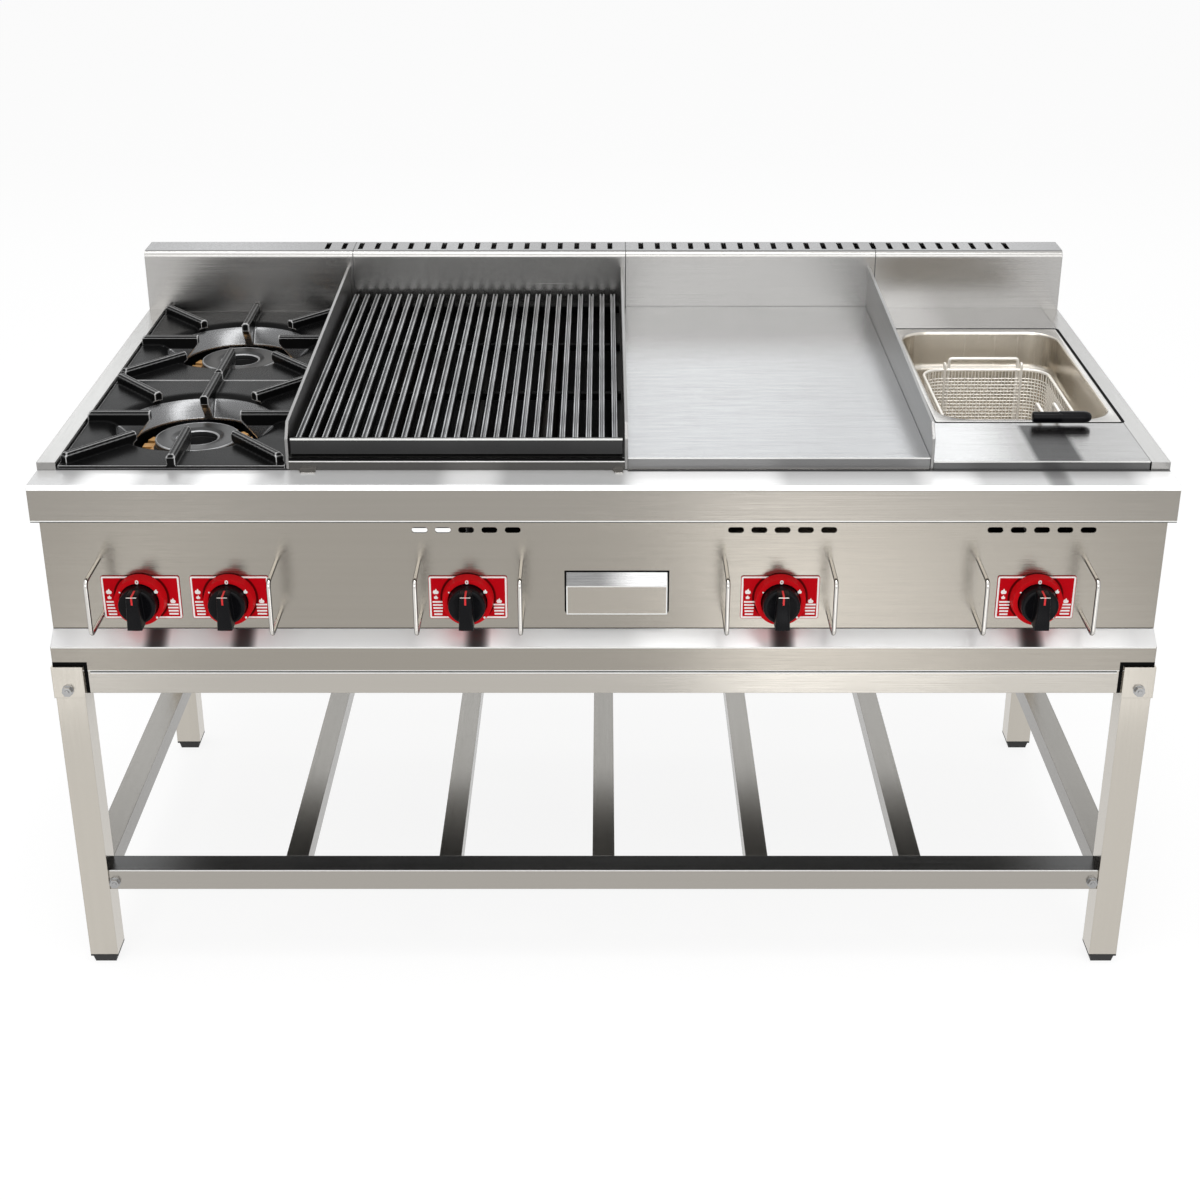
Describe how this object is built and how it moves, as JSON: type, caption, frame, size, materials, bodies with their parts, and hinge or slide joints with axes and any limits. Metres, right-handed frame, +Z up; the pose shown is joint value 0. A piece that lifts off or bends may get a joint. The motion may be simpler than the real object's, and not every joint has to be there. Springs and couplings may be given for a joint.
{
  "type": "gas combination range",
  "caption": "Wide stainless commercial gas cooking range on an open slatted stand, with open burners, a charbroiler, a flat griddle, a fryer with a basket, and guarded control knobs.",
  "frame": {"origin": "on the floor, in the middle of the outline seen from above", "axes": "+X to the right as seen from the knobs' side, +Y towards the back, +Z up"},
  "size_m": [1.504, 0.86, 0.862],
  "materials": {
    "stainless": "horizontally brushed stainless sheet",
    "griddle_steel": "ground bright steel plate",
    "pan_steel": "drawn stainless, toned by oil",
    "tray_steel": "dark heat-stained steel",
    "burner_steel": "heat-stained steel tube",
    "pipe_steel": "plain dark pipe",
    "wire": "bright drawn wire and rod",
    "zinc": "zinc-plated bolts",
    "grate_iron": "grey enamelled casting",
    "char_iron": "black casting",
    "burner_iron": "dark casting with a brass port ring",
    "brass": "turned brass",
    "red_paint": "gloss red",
    "knob_plastic": "black phenolic",
    "foot_plastic": "black moulded plastic"
  },
  "bodies": {
    "range": {"leg_front_left": "stainless", "leg_front_right": "stainless", "leg_rear_left": "stainless", "leg_rear_right": "stainless", "corner_brackets": "stainless", "upper_rail_front": "stainless", "upper_rail_rear": "stainless", "upper_side_rails": "stainless", "lower_rail_front": "stainless", "lower_rail_rear": "stainless", "lower_side_rails": "stainless", "shelf_slats": "stainless", "control_panel": "stainless", "side_panel_left": "stainless", "side_panel_right": "stainless", "rear_panel": "stainless", "bottom_pan": "stainless", "deck_front": "stainless", "splash_left": "stainless", "splash_right": "stainless", "guard_left": "stainless", "guard_middle": "stainless", "guard_right": "stainless", "griddle_box": "stainless", "grease_chute": "stainless", "drawer_runners": "stainless", "fryer_top": "stainless", "leg_feet": "foot_plastic", "frame_bolts": "zinc", "burner_tray": "tray_steel", "burner_heads": "burner_iron", "char_firebox": "stainless", "char_burner": "burner_steel", "char_radiants": "burner_steel", "griddle_burner": "burner_steel", "griddle_plate": "griddle_steel", "fryer_pan": "pan_steel", "fryer_burner": "burner_steel", "gas_pipes": "pipe_steel", "gas_valves": "brass", "dial_plates": "red_paint", "knob_guards": "wire"},
    "grease_drawer": {"grease_drawer": "stainless"},
    "burner_grate_front": {"burner_grate_front": "grate_iron"},
    "burner_grate_rear": {"burner_grate_rear": "grate_iron"},
    "burner_cap_front": {"burner_cap_front": "grate_iron"},
    "burner_cap_rear": {"burner_cap_rear": "grate_iron"},
    "char_grate": {"char_grate": "char_iron"},
    "fry_basket": {"fry_basket": "wire", "basket_handle": "knob_plastic"},
    "stem_1": {"valve_stem_1": "brass"},
    "knob_1": {"knob_1": "knob_plastic"},
    "stem_2": {"valve_stem_2": "brass"},
    "knob_2": {"knob_2": "knob_plastic"},
    "stem_3": {"valve_stem_3": "brass"},
    "knob_3": {"knob_3": "knob_plastic"},
    "stem_4": {"valve_stem_4": "brass"},
    "knob_4": {"knob_4": "knob_plastic"},
    "stem_5": {"valve_stem_5": "brass"},
    "knob_5": {"knob_5": "knob_plastic"}
  },
  "joints": [
    {"name": "knob_1_turn", "type": "hinge", "parent": "range", "child": "stem_1", "pos_m": [-0.6245, -0.36, 0.5785], "axis": [0, -1, 0], "range_deg": [0, 210]},
    {"name": "knob_1_push", "type": "slide", "parent": "stem_1", "child": "knob_1", "axis": [0, 1, 0], "range_m": [0, 0.003], "stiffness_N_per_m": 400, "springref_m": -0.002},
    {"name": "knob_2_turn", "type": "hinge", "parent": "range", "child": "stem_2", "pos_m": [-0.5045, -0.36, 0.5785], "axis": [0, -1, 0], "range_deg": [0, 210]},
    {"name": "knob_2_push", "type": "slide", "parent": "stem_2", "child": "knob_2", "axis": [0, 1, 0], "range_m": [0, 0.003], "stiffness_N_per_m": 400, "springref_m": -0.002},
    {"name": "knob_3_turn", "type": "hinge", "parent": "range", "child": "stem_3", "pos_m": [-0.18297, -0.36, 0.5785], "axis": [0, -1, 0], "range_deg": [0, 210]},
    {"name": "knob_3_push", "type": "slide", "parent": "stem_3", "child": "knob_3", "axis": [0, 1, 0], "range_m": [0, 0.003], "stiffness_N_per_m": 400, "springref_m": -0.002},
    {"name": "knob_4_turn", "type": "hinge", "parent": "range", "child": "stem_4", "pos_m": [0.23854, -0.36, 0.5785], "axis": [0, -1, 0], "range_deg": [0, 210]},
    {"name": "knob_4_push", "type": "slide", "parent": "stem_4", "child": "knob_4", "axis": [0, 1, 0], "range_m": [0, 0.003], "stiffness_N_per_m": 400, "springref_m": -0.002},
    {"name": "knob_5_turn", "type": "hinge", "parent": "range", "child": "stem_5", "pos_m": [0.58401, -0.36, 0.5785], "axis": [0, -1, 0], "range_deg": [0, 210]},
    {"name": "knob_5_push", "type": "slide", "parent": "stem_5", "child": "knob_5", "axis": [0, 1, 0], "range_m": [0, 0.003], "stiffness_N_per_m": 400, "springref_m": -0.002},
    {"name": "grease_drawer_slide", "type": "slide", "parent": "range", "child": "grease_drawer", "axis": [0, -1, 0], "range_m": [0, 0.36]},
    {"name": "burner_grate_front_lift", "type": "slide", "parent": "range", "child": "burner_grate_front", "axis": [0, 0, 1], "range_m": [0, 0.14]},
    {"name": "burner_grate_rear_lift", "type": "slide", "parent": "range", "child": "burner_grate_rear", "axis": [0, 0, 1], "range_m": [0, 0.14]},
    {"name": "burner_cap_front_lift", "type": "slide", "parent": "range", "child": "burner_cap_front", "axis": [0, 0, 1], "range_m": [0, 0.14]},
    {"name": "burner_cap_rear_lift", "type": "slide", "parent": "range", "child": "burner_cap_rear", "axis": [0, 0, 1], "range_m": [0, 0.14]},
    {"name": "char_grate_lift", "type": "slide", "parent": "range", "child": "char_grate", "axis": [0, 0, 1], "range_m": [0, 0.1]},
    {"name": "fry_basket_lift", "type": "slide", "parent": "range", "child": "fry_basket", "axis": [0, 0, 1], "range_m": [0, 0.26]}
  ]
}
